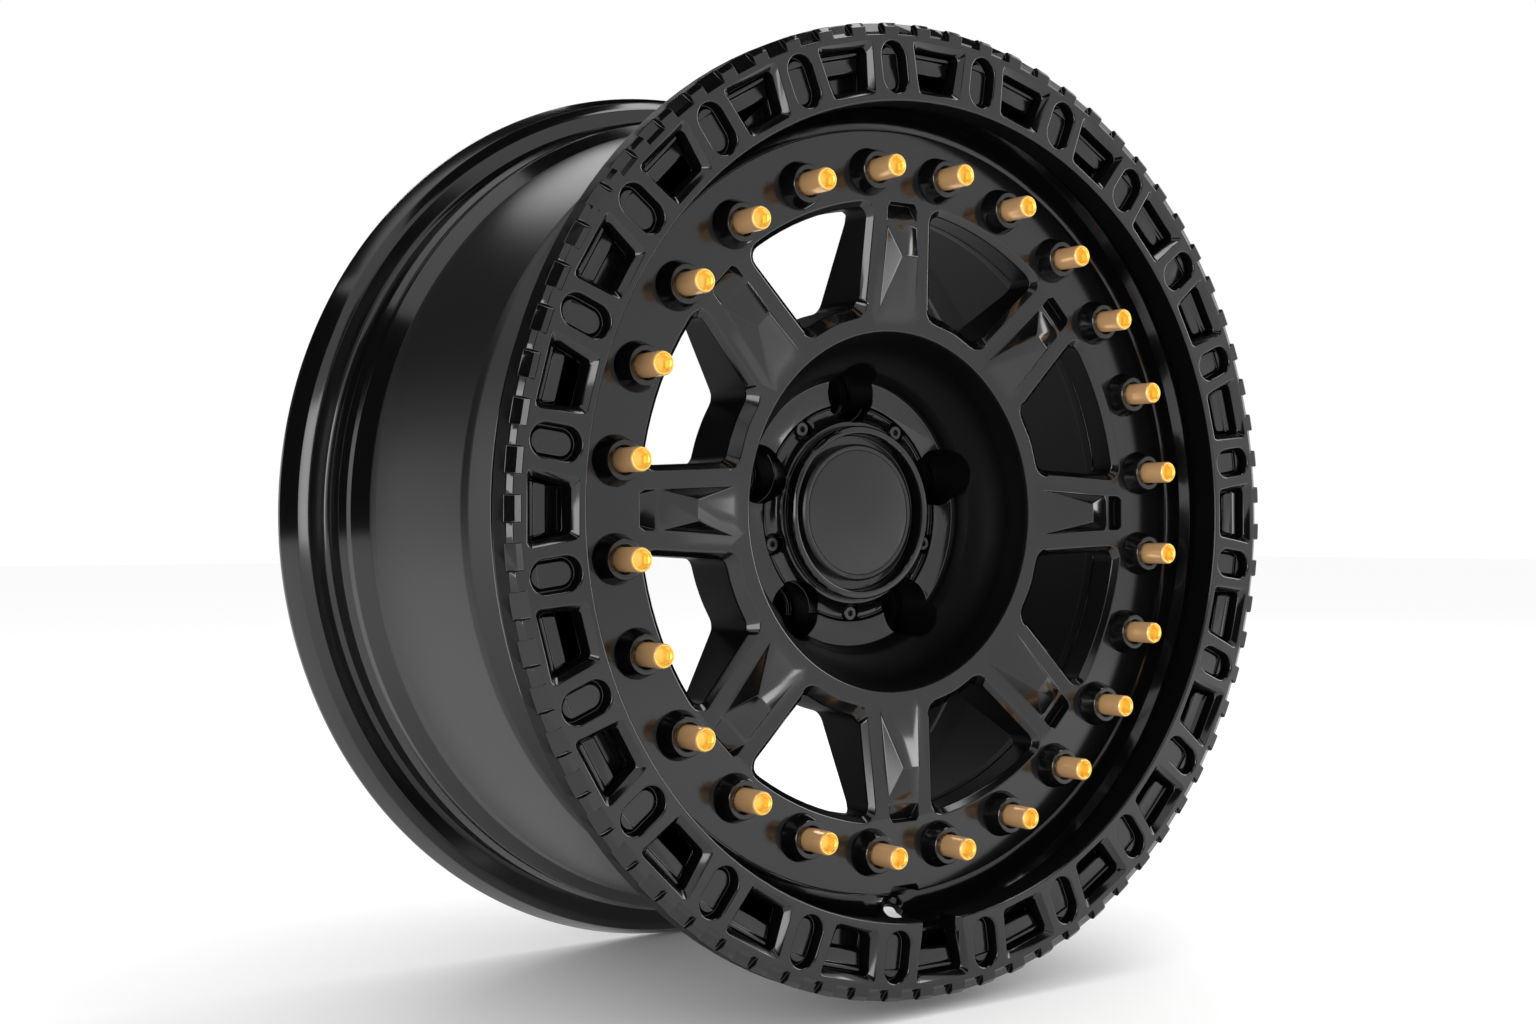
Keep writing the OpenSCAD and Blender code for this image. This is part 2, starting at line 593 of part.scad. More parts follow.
module rear_washers() {
    color("silver") upright() round_axis(bolt_count, pitch_bolt / 2)
        translate([bolt_circle_r, 0, joint_back_z - washer_t]) difference() {
            cylinder(d = 16, h = washer_t, $fn = 48);
            translate([0, 0, -1]) cylinder(d = shank_d + 2 * slip, h = washer_t + 2, $fn = 48);
        }
}

module rear_nuts() {
    color("silver") upright() round_axis(bolt_count, pitch_bolt / 2)
        translate([bolt_circle_r, 0, joint_back_z - washer_t - nut_h]) difference() {
            intersection() {
                cylinder(d = 15, h = nut_h, $fn = 6);
                translate([0, 0, -0.6]) cylinder(r1 = 6.2, r2 = 6.2 + nut_h + 0.6, h = nut_h + 0.6, $fn = 48);
            }
            translate([0, 0, -1]) cylinder(d = shank_d + 2 * slip, h = nut_h + 2, $fn = 48);
        }
}

// Centre cap
cap_r = 57.2;
cap_edge = 1;
cap_hollow_r = 33;
cap_hollow_h = 12;
cap_through_h = 30;
cap_screw_spot_r = 5.4;
cap_screw_d = 4;
cap_screw_seat_z = pad_z - 2.5;
module cap_body() {
    color("#222222") upright() difference() {
        rotate_extrude($fn = 120) polygon(concat(
            [[0, cap_seat_z], [cap_r, cap_seat_z], [cap_r, pad_z - cap_edge], [cap_r - cap_edge, pad_z - 0.3]],
            arc(cap_r - 0.7, pad_z + 8, 9.6, -95, -150, 5),
            [[bezel_r, bezel_z - 6], [bezel_r, bezel_z - 1]],
            arc(bezel_r - 1, bezel_z - 1, 1, 0, 90, 3),
            [[bezel_r - 3.6, bezel_z], [bezel_r - 4.3, bezel_z - 0.7], [bezel_r - 5, bezel_z - 8]],
            [[0, bezel_z - 8]]));
        round_axis(stud_count, 90) translate([stud_pcd / 2, 0, cap_seat_z - 1])
            cylinder(r = nut_pocket_r + 0.6, h = cap_through_h);
        round_axis(stud_count, 54) translate([cap_screw_circle_r, 0, cap_seat_z - 1]) {
            cylinder(d = cap_screw_d + 2 * slip, h = cap_through_h);
            translate([0, 0, cap_screw_seat_z - cap_seat_z - 1.5])
                cylinder(r = cap_screw_spot_r, h = cap_through_h);
        }
        translate([0, 0, cap_seat_z - 1]) cylinder(r = cap_hollow_r, h = cap_hollow_h);
    }
}

module cap_inset() {
    low = bezel_z - 8;
    top = bezel_z - 2.6;
    color("#303030") upright() rotate_extrude($fn = 120) polygon([
        [0, low], [inset_r, low], [inset_r, top - 1.2], [inset_r - 1.2, top], [inset_r - 3, top],
        [inset_r - 3.3, top - 0.4], [inset_r - 3.6, top], [0, top]]);
}

module cap_screws() {
    color("black") upright() round_axis(stud_count, 54) translate([cap_screw_circle_r, 0, 0]) difference() {
        rotate_extrude($fn = 32) polygon([
            [0, cap_seat_z - 12], [cap_screw_d / 2, cap_seat_z - 12],
            [cap_screw_d / 2, cap_screw_seat_z - 1.5], [3.8, cap_screw_seat_z - 1.5],
            [3.8, cap_screw_seat_z + 1.1], [3.4, cap_screw_seat_z + 1.5], [0, cap_screw_seat_z + 1.5]]);
        translate([0, 0, cap_screw_seat_z - 1]) cylinder(d = 3.5, h = 4, $fn = 6);
    }
}

inner_rim_half();
outer_rim_half();
rim_seal();
guard_ring();
ring_screws();
centre_disc();
bolt_collars();
assembly_bolts();
rear_washers();
rear_nuts();
cap_body();
cap_inset();
cap_screws();
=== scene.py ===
"""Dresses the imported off-road alloy wheel: paint, plating and plastic finishes, rounded edges,
detailed bolts, and a plain studio with the photograph's camera.

The wheel's axis lies along Y, the street side looks along -Y, and +Z is up. Lengths are in metres.
"""
import enum
import logging
import math
from dataclasses import dataclass, field
from typing import Iterable

import bmesh
import bpy
import numpy as np
from mathutils import Matrix, Vector


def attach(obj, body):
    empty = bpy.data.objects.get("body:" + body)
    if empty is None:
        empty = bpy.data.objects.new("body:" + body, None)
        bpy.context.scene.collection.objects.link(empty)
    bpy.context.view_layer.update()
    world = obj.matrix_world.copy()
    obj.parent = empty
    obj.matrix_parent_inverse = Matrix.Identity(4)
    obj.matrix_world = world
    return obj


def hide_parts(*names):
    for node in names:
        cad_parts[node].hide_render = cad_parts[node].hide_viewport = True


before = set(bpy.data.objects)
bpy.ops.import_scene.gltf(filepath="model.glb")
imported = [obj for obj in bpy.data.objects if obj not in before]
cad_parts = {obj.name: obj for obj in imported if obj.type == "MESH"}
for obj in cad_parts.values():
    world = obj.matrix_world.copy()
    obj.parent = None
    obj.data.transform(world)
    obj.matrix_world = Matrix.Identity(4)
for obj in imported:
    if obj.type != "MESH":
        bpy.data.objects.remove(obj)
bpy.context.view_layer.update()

LOG = logging.getLogger("alloy_wheel")
BODY = "root"
NODES: dict[str, bpy.types.Object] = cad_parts

Pair = tuple[float, float]
Triple = tuple[float, float, float]
Profile = list[Triple]

# The turned profiles are in millimetres, everything else is in metres
MM_PER_METRE = 1000

# Clean-up of the CAD meshes: points closer than this merge, faces within this angle join
MERGE_DISTANCE = 4e-6
FLAT_ANGLE = math.radians(0.5)

# A face is flat towards the street or the car where its normal has at least this share along the axle
FLAT_SHARE = 0.985

# A face of the barrel looks inwards where its middle times its normal, summed over the two directions
# across the axle, is less than this
INWARD = -0.02

# The barrel's rear bead seat and lip lie beyond this place along Y
RIDGE_BACK = 0.0665

# The rounding of a profile's corner takes at most this share of the shorter side next to it
SIDE_SHARE = 0.45

# Scales of the noises: spray texture, grit, patches and specks of dust, and marks of the lathe
SPRAY_SCALE = 900.0
GRIT_SCALE = 4000.0
PATCH_SCALE = 14.0
SPECK_SCALE = 1400.0
RINGS_SCALE = 2600.0
NOISE_MEAN = 0.5
DUST_COLOUR = (0.35, 0.33, 0.3, 1.0)

# Sockets of a Mix node: its factor, then both inputs and the result, of numbers and of colours
MIX_FACTOR = 0
NUMBER_FIRST, NUMBER_SECOND, NUMBER_RESULT = 2, 3, 0
COLOUR_FIRST, COLOUR_SECOND, COLOUR_RESULT = 6, 7, 2

# The assembly bolts: how many, and the radius of their circle in millimetres
BOLT_COUNT = 24
BOLT_CIRCLE = 173.5

# Heights above the wheel's middle plane towards the street, in millimetres
HEAD_TOP = 117.85
COLLAR_TOP = 103.25
HEAD_SEAT = 98.45
DISC_FACE = 94.45
JOINT_FACE = 76.45
JOINT_BACK = 70.45
BOLT_END = 59.85
REAR_BEAD = -100.95
REAR_FACE = -123.75

# Outer radii of the inner rim half, its joint flange's bore, and its wall, in millimetres
JOINT_R = 157.0
WELL_R = 203.0
WAIST_R = 217.0
BARREL_R = 222.0
BEAD_R = 231.0
REAR_FLANGE_R = 250.5
WALL = 5.5


class Coat(enum.Enum):
    """The finishes that the wheel's pieces can wear."""

    GLOSS = "gloss_black"
    SATIN = "satin_black"
    GOLD = "gold_bolt"
    # A yellower gold on the bolts' head ends, a painted reflection
    TIP = "gold_bolt_tip"
    ZINC = "zinc_steel"
    OXIDE = "black_steel"
    PLASTIC = "black_plastic"
    RUBBER = "seal_rubber"
    # Painted shade: a near-black for the walls, the hub bowl and the barrel's inside, where shade falls
    SHADE = "painted_shade_black"


class NodeGroups:
    """Shader node groups that several finishes share, each built once."""

    def __init__(self) -> None:
        """Builds the groups."""
        self.grain = self._grain()
        self.dust = self._dust()

    @staticmethod
    def _new(name: str, sockets: Iterable[tuple[str, str, str, float]]) -> bpy.types.NodeTree:
        """Makes an empty group with named sockets.

        Args:
            name: The group's name.
            sockets: In or out, socket type, name and default of each socket.

        Returns:
            The group's node tree, with its input and output nodes in it.
        """
        tree = bpy.data.node_groups.new(name, "ShaderNodeTree")
        for way, kind, label, default in sockets:
            made = tree.interface.new_socket(label, in_out=way, socket_type=kind)
            if kind == "NodeSocketFloat":
                made.default_value = default
        tree.nodes.new("NodeGroupInput").name = "in"
        tree.nodes.new("NodeGroupOutput").name = "out"
        return tree

    def _grain(self) -> bpy.types.NodeTree:
        """Fine height and roughness variation: a broad noise for spray texture, a fine one for grit.

        Roughness = mean + spread * (broad noise - the noise's mean).

        Returns:
            The group, with Height and Roughness outputs.
        """
        tree = self._new("paint_grain", [
            ("INPUT", "NodeSocketFloat", "Scale", SPRAY_SCALE),
            ("INPUT", "NodeSocketFloat", "Fine Scale", GRIT_SCALE),
            ("INPUT", "NodeSocketFloat", "Fine Share", 0.3),
            ("INPUT", "NodeSocketFloat", "Roughness", 0.2),
            ("INPUT", "NodeSocketFloat", "Spread", 0.04),
            ("OUTPUT", "NodeSocketFloat", "Height", 0.0),
            ("OUTPUT", "NodeSocketFloat", "Roughness", 0.0)])
        n, link = tree.nodes, tree.links.new
        place = n.new("ShaderNodeTexCoord")
        broad, fine = n.new("ShaderNodeTexNoise"), n.new("ShaderNodeTexNoise")
        broad.inputs["Detail"].default_value = 3.0
        fine.inputs["Detail"].default_value = 2.0
        blend = n.new("ShaderNodeMix")
        spread, centre = n.new("ShaderNodeMath"), n.new("ShaderNodeMath")
        spread.operation, centre.operation = "MULTIPLY_ADD", "SUBTRACT"
        centre.inputs[1].default_value = NOISE_MEAN
        link(place.outputs["Object"], broad.inputs["Vector"])
        link(place.outputs["Object"], fine.inputs["Vector"])
        link(n["in"].outputs["Scale"], broad.inputs["Scale"])
        link(n["in"].outputs["Fine Scale"], fine.inputs["Scale"])
        link(n["in"].outputs["Fine Share"], blend.inputs[MIX_FACTOR])
        link(broad.outputs["Fac"], blend.inputs[NUMBER_FIRST])
        link(fine.outputs["Fac"], blend.inputs[NUMBER_SECOND])
        link(blend.outputs[NUMBER_RESULT], n["out"].inputs["Height"])
        link(broad.outputs["Fac"], centre.inputs[0])
        link(centre.outputs[0], spread.inputs[0])
        link(n["in"].outputs["Spread"], spread.inputs[1])
        link(n["in"].outputs["Roughness"], spread.inputs[2])
        link(spread.outputs[0], n["out"].inputs["Roughness"])
        return tree

    def _dust(self) -> bpy.types.NodeTree:
        """A thin, patchy veil of dust that lightens a colour where two noises are both high.

        Share of dust = patches * specks * amount.

        Returns:
            The group, with a Color output.
        """
        tree = self._new("dust_veil", [
            ("INPUT", "NodeSocketColor", "Color", 0.0),
            ("INPUT", "NodeSocketColor", "Dust", 0.0),
            ("INPUT", "NodeSocketFloat", "Amount", 0.02),
            ("OUTPUT", "NodeSocketColor", "Color", 0.0)])
        n, link = tree.nodes, tree.links.new
        place = n.new("ShaderNodeTexCoord")
        patch, speck = n.new("ShaderNodeTexNoise"), n.new("ShaderNodeTexNoise")
        patch.inputs["Scale"].default_value = PATCH_SCALE
        speck.inputs["Scale"].default_value = SPECK_SCALE
        both, amount, mix = n.new("ShaderNodeMath"), n.new("ShaderNodeMath"), n.new("ShaderNodeMix")
        both.operation = amount.operation = "MULTIPLY"
        mix.data_type = "RGBA"
        link(place.outputs["Object"], patch.inputs["Vector"])
        link(place.outputs["Object"], speck.inputs["Vector"])
        link(patch.outputs["Fac"], both.inputs[0])
        link(speck.outputs["Fac"], both.inputs[1])
        link(both.outputs[0], amount.inputs[0])
        link(n["in"].outputs["Amount"], amount.inputs[1])
        link(amount.outputs[0], mix.inputs[MIX_FACTOR])
        link(n["in"].outputs["Color"], mix.inputs[COLOUR_FIRST])
        link(n["in"].outputs["Dust"], mix.inputs[COLOUR_SECOND])
        link(mix.outputs[COLOUR_RESULT], n["out"].inputs["Color"])
        return tree


@dataclass(frozen=True)
class Finish:
    """One surface finish, with what its shader needs.

    Attributes:
        name: The material's name.
        colour: Base colour, linear.
        roughness: Mean roughness.
        spread: How far the roughness wanders.
        ior: Index of refraction of the skin.
        metallic: 1 for bare or plated metal.
        grain: Height of the grain, in metres.
        scale: Scale of the broad grain.
        fine: Scale of the fine grain.
        dust: Amount of the dust veil.
        turned: Height of fine rings about the wheel's axis, in metres, left by a lathe.
    """

    name: str
    colour: Triple
    roughness: float
    spread: float = 0.03
    ior: float = 1.5
    metallic: float = 0.0
    grain: float = 0.0
    scale: float = SPRAY_SCALE
    fine: float = GRIT_SCALE
    dust: float = 0.0
    turned: float = 0.0

    def material(self, groups: NodeGroups) -> bpy.types.Material:
        """Builds the finish as a material.

        Args:
            groups: The shared node groups.

        Returns:
            The material, which reads Object coordinates.
        """
        made = bpy.data.materials.new(self.name)
        made.use_nodes = True
        n, link = made.node_tree.nodes, made.node_tree.links.new
        skin = n["Principled BSDF"]
        skin.inputs["Metallic"].default_value = self.metallic
        skin.inputs["IOR"].default_value = self.ior
        grain, veil = n.new("ShaderNodeGroup"), n.new("ShaderNodeGroup")
        grain.node_tree, veil.node_tree = groups.grain, groups.dust
        grain.inputs["Scale"].default_value = self.scale
        grain.inputs["Fine Scale"].default_value = self.fine
        grain.inputs["Roughness"].default_value = self.roughness
        grain.inputs["Spread"].default_value = self.spread
        link(grain.outputs["Roughness"], skin.inputs["Roughness"])
        veil.inputs["Color"].default_value = (*self.colour, 1.0)
        veil.inputs["Dust"].default_value = DUST_COLOUR
        veil.inputs["Amount"].default_value = self.dust
        link(veil.outputs["Color"], skin.inputs["Base Color"])
        normal = None
        if self.turned:
            normal = self._rings(made.node_tree)
        if self.grain:
            bump = n.new("ShaderNodeBump")
            bump.inputs["Strength"].default_value = 1.0
            bump.inputs["Distance"].default_value = self.grain
            link(grain.outputs["Height"], bump.inputs["Height"])
            if normal is not None:
                link(normal, bump.inputs["Normal"])
            normal = bump.outputs["Normal"]
        if normal is not None:
            link(normal, skin.inputs["Normal"])
        return made

    def _rings(self, tree: bpy.types.NodeTree) -> bpy.types.NodeSocket:
        """Fine turning marks: a noise that varies only along the axis and with the radius.

        Args:
            tree: The material's node tree.

        Returns:
            The socket with the bumped normal.
        """
        n, link = tree.nodes, tree.links.new
        place, split = n.new("ShaderNodeTexCoord"), n.new("ShaderNodeSeparateXYZ")
        flat, size = n.new("ShaderNodeCombineXYZ"), n.new("ShaderNodeVectorMath")
        size.operation = "LENGTH"
        pair, noise = n.new("ShaderNodeCombineXYZ"), n.new("ShaderNodeTexNoise")
        bump = n.new("ShaderNodeBump")
        noise.inputs["Scale"].default_value = RINGS_SCALE
        noise.inputs["Detail"].default_value = 2.0
        bump.inputs["Distance"].default_value = self.turned
        link(place.outputs["Object"], split.inputs[0])
        link(split.outputs["X"], flat.inputs["X"])
        link(split.outputs["Z"], flat.inputs["Z"])
        link(flat.outputs[0], size.inputs[0])
        link(size.outputs["Value"], pair.inputs["X"])
        link(split.outputs["Y"], pair.inputs["Y"])
        link(pair.outputs[0], noise.inputs["Vector"])
        link(noise.outputs["Fac"], bump.inputs["Height"])
        return bump.outputs["Normal"]


class Wardrobe:
    """Every finish of the wheel, built once."""

    def __init__(self) -> None:
        """Builds the node groups and the materials."""
        groups = NodeGroups()
        finishes: dict[Coat, Finish] = {
            Coat.GLOSS: Finish("gloss_black_paint", (0.0025, 0.0025, 0.0027), roughness=0.13,
                               spread=0.02, ior=1.56, grain=3e-6, dust=0.003),
            Coat.SATIN: Finish("satin_black_paint", (0.007, 0.007, 0.007), roughness=0.36,
                               spread=0.03, ior=1.52, grain=4e-6, dust=0.004, turned=1.5e-6),
            Coat.GOLD: Finish("copper_gold_anodising", (0.98, 0.58, 0.27), roughness=0.26,
                              spread=0.04, ior=1.6, metallic=0.5, grain=2e-6),
            # Painted reflection: the head's end is a yellower gold where it reflects the light straight
            # back
            Coat.TIP: Finish("gold_with_painted_reflection", (1.0, 0.66, 0.13), roughness=0.26,
                             spread=0.04, ior=1.6, metallic=0.55, grain=2e-6),
            Coat.ZINC: Finish("zinc_plating", (0.62, 0.62, 0.64), roughness=0.3,
                              spread=0.05, ior=1.5, metallic=1.0, grain=4e-6),
            Coat.OXIDE: Finish("black_oxide", (0.012, 0.012, 0.012), roughness=0.3,
                               spread=0.05, ior=1.6, grain=3e-6),
            Coat.PLASTIC: Finish("satin_plastic", (0.006, 0.006, 0.006), roughness=0.3,
                                 spread=0.04, ior=1.5, grain=6e-6),
            Coat.RUBBER: Finish("seal_rubber", (0.02, 0.02, 0.02), roughness=0.7,
                                spread=0.05, ior=1.5, grain=2e-5),
            # Painted shade: a darker, duller black than the paint, worn by faces that stand in shade
            Coat.SHADE: Finish("painted_shade_dull_black", (0.0015, 0.0015, 0.0015), roughness=0.5,
                               spread=0.03, ior=1.18, grain=6e-6),
        }
        self.materials = {coat: finish.material(groups) for coat, finish in finishes.items()}

    def dress(self, piece: bpy.types.Object, coat: Coat) -> None:
        """Gives a piece one finish as its only material.

        Args:
            piece: The object.
            coat: The finish it wears.
        """
        piece.data.materials.clear()
        piece.data.materials.append(self.materials[coat])
        LOG.info("%s wears %s", piece.name, coat.value)


def face_arrays(mesh: bpy.types.Mesh) -> tuple[np.ndarray, np.ndarray]:
    """Middle and normal of each face.

    Args:
        mesh: The mesh.

    Returns:
        Two arrays with a row of X, Y and Z for each face.
    """
    middle, normal = np.empty(len(mesh.polygons) * 3), np.empty(len(mesh.polygons) * 3)
    mesh.polygons.foreach_get("center", middle)
    mesh.polygons.foreach_get("normal", normal)
    return middle.reshape(-1, 3), normal.reshape(-1, 3)


@dataclass
class RoundedNode:
    """A copy of a CAD node whose sharp edges are broken by a small radius, as paint and casting do.

    Attributes:
        node: The CAD node that it replaces.
        name: The new piece's name.
        coat: Its finish.
        radius: Width of the rounded edge, in metres.
        sharp: Least angle of an edge that is rounded, in degrees.
        steps: Segments of the rounding.
        steep: Faces whose normal has less than this share along the axle are walls, and wear the
            painted shade.
        bowl: Radii between which every slanted face wears the painted shade too, in metres.
    """

    node: str
    name: str
    coat: Coat
    radius: float = 0.0004
    sharp: float = 22.0
    steps: int = 2
    steep: float = 0.0
    bowl: Pair = (0.0, 0.0)

    def shade_walls(self, mesh: bpy.types.Mesh) -> None:
        """Gives the walls and the slanted faces of the bowl the second material, a painted shade of
        near-black.

        Args:
            mesh: The piece's mesh.
        """
        middle, normal = face_arrays(mesh)
        radius = np.hypot(middle[:, 0], middle[:, 2])
        along = np.abs(normal[:, 1])
        in_bowl = (radius > self.bowl[0]) & (radius < self.bowl[1]) & (along < FLAT_SHARE)
        # Painted shade: the walls and the bowl's slanted faces get a near-black where shade falls
        painted_shade_faces = (along < self.steep) | in_bowl
        mesh.polygons.foreach_set("material_index", painted_shade_faces.astype(np.int32))

    def build(self, wardrobe: Wardrobe) -> None:
        """Copies, merges and flattens the node's mesh and rounds its edges.

        Args:
            wardrobe: The finishes.
        """
        mesh = NODES[self.node].data.copy()
        mesh.name = self.name
        mesh.transform(NODES[self.node].matrix_world)
        work = bmesh.new()
        work.from_mesh(mesh)
        bmesh.ops.remove_doubles(work, verts=work.verts, dist=MERGE_DISTANCE)
        bmesh.ops.dissolve_limit(work, angle_limit=FLAT_ANGLE, verts=work.verts, edges=work.edges,
                                 use_dissolve_boundaries=False)
        work.to_mesh(mesh)
        work.free()
        mesh.shade_smooth()
        mesh.set_sharp_from_angle(angle=math.radians(self.sharp))
        piece = bpy.data.objects.new(self.name, mesh)
        bpy.context.scene.collection.objects.link(piece)
        edge = piece.modifiers.new("edge", "BEVEL")
        edge.limit_method = "ANGLE"
        edge.angle_limit = math.radians(self.sharp)
        edge.width = self.radius
        edge.segments = self.steps
        edge.harden_normals = True
        edge.use_clamp_overlap = False
        enter(piece, self.node, self.coat, wardrobe)
        # The second material is painted shade on the walls and the bowl
        if self.steep > 0.0:
            mesh.materials.append(wardrobe.materials[Coat.SHADE])
            self.shade_walls(mesh)


def enter(piece: bpy.types.Object, node: str, coat: Coat, wardrobe: Wardrobe) -> None:
    """Puts a finished piece on the wheel's body in place of a CAD node.

    Args:
        piece: The piece.
        node: The CAD node that it replaces.
        coat: Its finish.
        wardrobe: The finishes.
    """
    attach(piece, BODY)
    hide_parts(node)
    wardrobe.dress(piece, coat)


def rounded(profile: Profile, steps: int = 4, closed: bool = True) -> np.ndarray:
    """Rounds each corner of a profile by its own radius.

    The curve starts and ends at radius / tan(half the corner's angle) from the corner, and at most at
    SIDE_SHARE of the shorter side, so that two curves never meet.

    Args:
        profile: Radius, height and corner radius of each point, in millimetres.
        steps: Segments of a full corner.
        closed: Whether the last point joins the first.

    Returns:
        The points of the rounded profile, as rows of radius and height.
    """
    points = np.array([p[:2] for p in profile], float)
    count, out = len(points), []
    for i, (_, _, radius) in enumerate(profile):
        here = points[i]
        if radius <= 0 or (not closed and i in (0, count - 1)):
            out.append(here)
            continue
        back, ahead = points[i - 1] - here, points[(i + 1) % count] - here
        reach_back, reach_ahead = np.linalg.norm(back), np.linalg.norm(ahead)
        u, w = back / reach_back, ahead / reach_ahead
        half = math.acos(float(np.clip(u @ w, -1, 1))) / 2
        leg = min(radius / math.tan(half), SIDE_SHARE * reach_back, SIDE_SHARE * reach_ahead)
        start, end = here + u * leg, here + w * leg
        for t in np.linspace(0, 1, steps + 1):
            # A quadratic curve from start to end with the corner as its handle
            out.append(start * (1 - t) ** 2 + here * 2 * t * (1 - t) + end * t ** 2)
    return np.array(out)


@dataclass
class Turned:
    """Identical turned solids: a profile that is swept round an axis along Y.

    Attributes:
        node: The CAD node that they replace.
        name: The new piece's name.
        coat: Its finish.
        profile: Points of the section, as rows of radius and height towards the street, in millimetres.
        centres: Places of the axes, as rows of X and Z, in millimetres.
        segments: Steps round the axis.
        closed: Whether the profile is a closed loop that doesn't touch the axis.
        sharp: Least angle of an edge that stays sharp in the shading, in degrees.
    """

    node: str
    name: str
    coat: Coat
    profile: np.ndarray
    centres: np.ndarray
    segments: int
    closed: bool = True
    sharp: float = 40.0

    def ring(self, row: np.ndarray) -> tuple[np.ndarray, np.ndarray]:
        """Offsets of one turn's points: the profile's radius times each point's direction.

        Args:
            row: Radius and height of the profile's point.

        Returns:
            The X and Z offsets of the ring's points.
        """
        angle = np.arange(self.segments) * 2 * math.pi / self.segments
        return row[0] * np.cos(angle), row[0] * np.sin(angle)

    def build(self, wardrobe: Wardrobe) -> bpy.types.Object:
        """Makes one mesh of all the solids and enters it.

        Args:
            wardrobe: The finishes.

        Returns:
            The finished piece.
        """
        rows, turn = len(self.profile), self.segments
        # The points of one solid, row by row; heights towards the street run along -Y
        one = np.empty((rows, turn, 3))
        for k, row in enumerate(self.profile):
            one[k, :, 0], one[k, :, 2] = self.ring(row)
            one[k, :, 1] = -row[1]
        one = one.reshape(-1, 3)
        wrap = rows if self.closed else rows - 1
        k, i = np.meshgrid(np.arange(wrap), np.arange(turn), indexing="ij")
        low, high = k * turn, (k + 1) % rows * turn
        after = (i + 1) % turn
        quads = np.stack([low + i, high + i, high + after, low + after], -1).reshape(-1, 4)
        points = np.concatenate([one + (x, 0.0, z) for x, z in self.centres]) / MM_PER_METRE
        faces = np.concatenate([quads + n * rows * turn for n in range(len(self.centres))]).tolist()
        if not self.closed:
            # A cap at both ends of each solid, which turn opposite ways
            for n in range(len(self.centres)):
                base = n * rows * turn
                faces.append(list(range(base, base + turn)))
                faces.append(list(range(base + rows * turn - 1, base + (rows - 1) * turn - 1, -1)))
        mesh = bpy.data.meshes.new(self.name)
        mesh.from_pydata(points.tolist(), [], faces)
        work = bmesh.new()
        work.from_mesh(mesh)
        bmesh.ops.recalc_face_normals(work, faces=work.faces)
        work.to_mesh(mesh)
        work.free()
        mesh.shade_smooth()
        mesh.set_sharp_from_angle(angle=math.radians(self.sharp))
        piece = bpy.data.objects.new(self.name, mesh)
        bpy.context.scene.collection.objects.link(piece)
        enter(piece, self.node, self.coat, wardrobe)
        return piece


@dataclass
class SocketBolts(Turned):
    """Bolts with a hexagon socket in the head: the last rings go from round to six-sided.

    Attributes:
        socket: Half the distance across the socket's flats, in millimetres.
        reach: Most that a corner of the socket may lie from its centre, in millimetres.
        rim: The first row of the socket.
        tip: The first row that wears the head end's yellower gold, a painted reflection.
    """

    socket: float = 3.7
    reach: float = 4.55
    rim: int = 0
    tip: int = 0

    def build(self, wardrobe: Wardrobe) -> bpy.types.Object:
        """Makes the bolts, bends the socket's rings to a hexagon and paints a reflection in yellower
        gold on the heads' ends.

        Args:
            wardrobe: The finishes.

        Returns:
            The finished piece.
        """
        rows, turn = len(self.profile), self.segments
        piece = super().build(wardrobe)
        mesh = piece.data
        co = np.empty(len(mesh.vertices) * 3)
        mesh.vertices.foreach_get("co", co)
        co = co.reshape(len(self.centres), rows, turn, 3)
        angle = np.arange(turn) * 2 * math.pi / turn
        # Distance of a hexagon's edge from its centre, in units of half the distance across its flats
        hexagon = 1 / np.cos((angle + math.pi / 6) % (math.pi / 3) - math.pi / 6)
        for n, (x, z) in enumerate(self.centres):
            centre = np.array([x, z]) / MM_PER_METRE
            for k in range(self.rim, rows):
                flat = co[n, k][:, [0, 2]] - centre
                flat *= np.minimum(hexagon, self.reach / self.socket)[:, None]
                co[n, k][:, [0, 2]] = flat + centre
        mesh.vertices.foreach_set("co", co.ravel())
        # Painted reflection: the head end's faces wear a yellower gold
        mesh.materials.append(wardrobe.materials[Coat.TIP])
        # The side faces come first, row by row; after them each bolt's two end caps, of which the
        # second is the socket's floor
        side = np.tile(np.repeat(np.arange(rows - 1), turn) >= self.tip, len(self.centres))
        caps = np.tile([False, True], len(self.centres))
        mesh.polygons.foreach_set("material_index", np.concatenate([side, caps]).astype(np.int32))
        mesh.update()
        return piece


def panel(name: str, size: Pair, colour: float, roughness: float) -> bpy.types.Object:
    """A flat rectangle round the origin, facing up, in a plain grey without gloss.

    Args:
        name: The panel's name, and its material's.
        size: Its width and depth.
        colour: Its grey, linear.
        roughness: Its roughness.

    Returns:
        The panel.
    """
    corners = [(x * size[0] / 2, y * size[1] / 2, 0.0) for x, y in ((-1, -1), (1, -1), (1, 1), (-1, 1))]
    mesh = bpy.data.meshes.new(name)
    mesh.from_pydata(corners, [], [(0, 1, 2, 3)])
    made = bpy.data.objects.new(name, mesh)
    bpy.context.scene.collection.objects.link(made)
    paint = bpy.data.materials.new(name)
    paint.use_nodes = True
    skin = paint.node_tree.nodes["Principled BSDF"]
    skin.inputs["Base Color"].default_value = (colour, colour, colour, 1.0)
    skin.inputs["Roughness"].default_value = roughness
    skin.inputs["Specular IOR Level"].default_value = 0.0
    mesh.materials.append(paint)
    return made


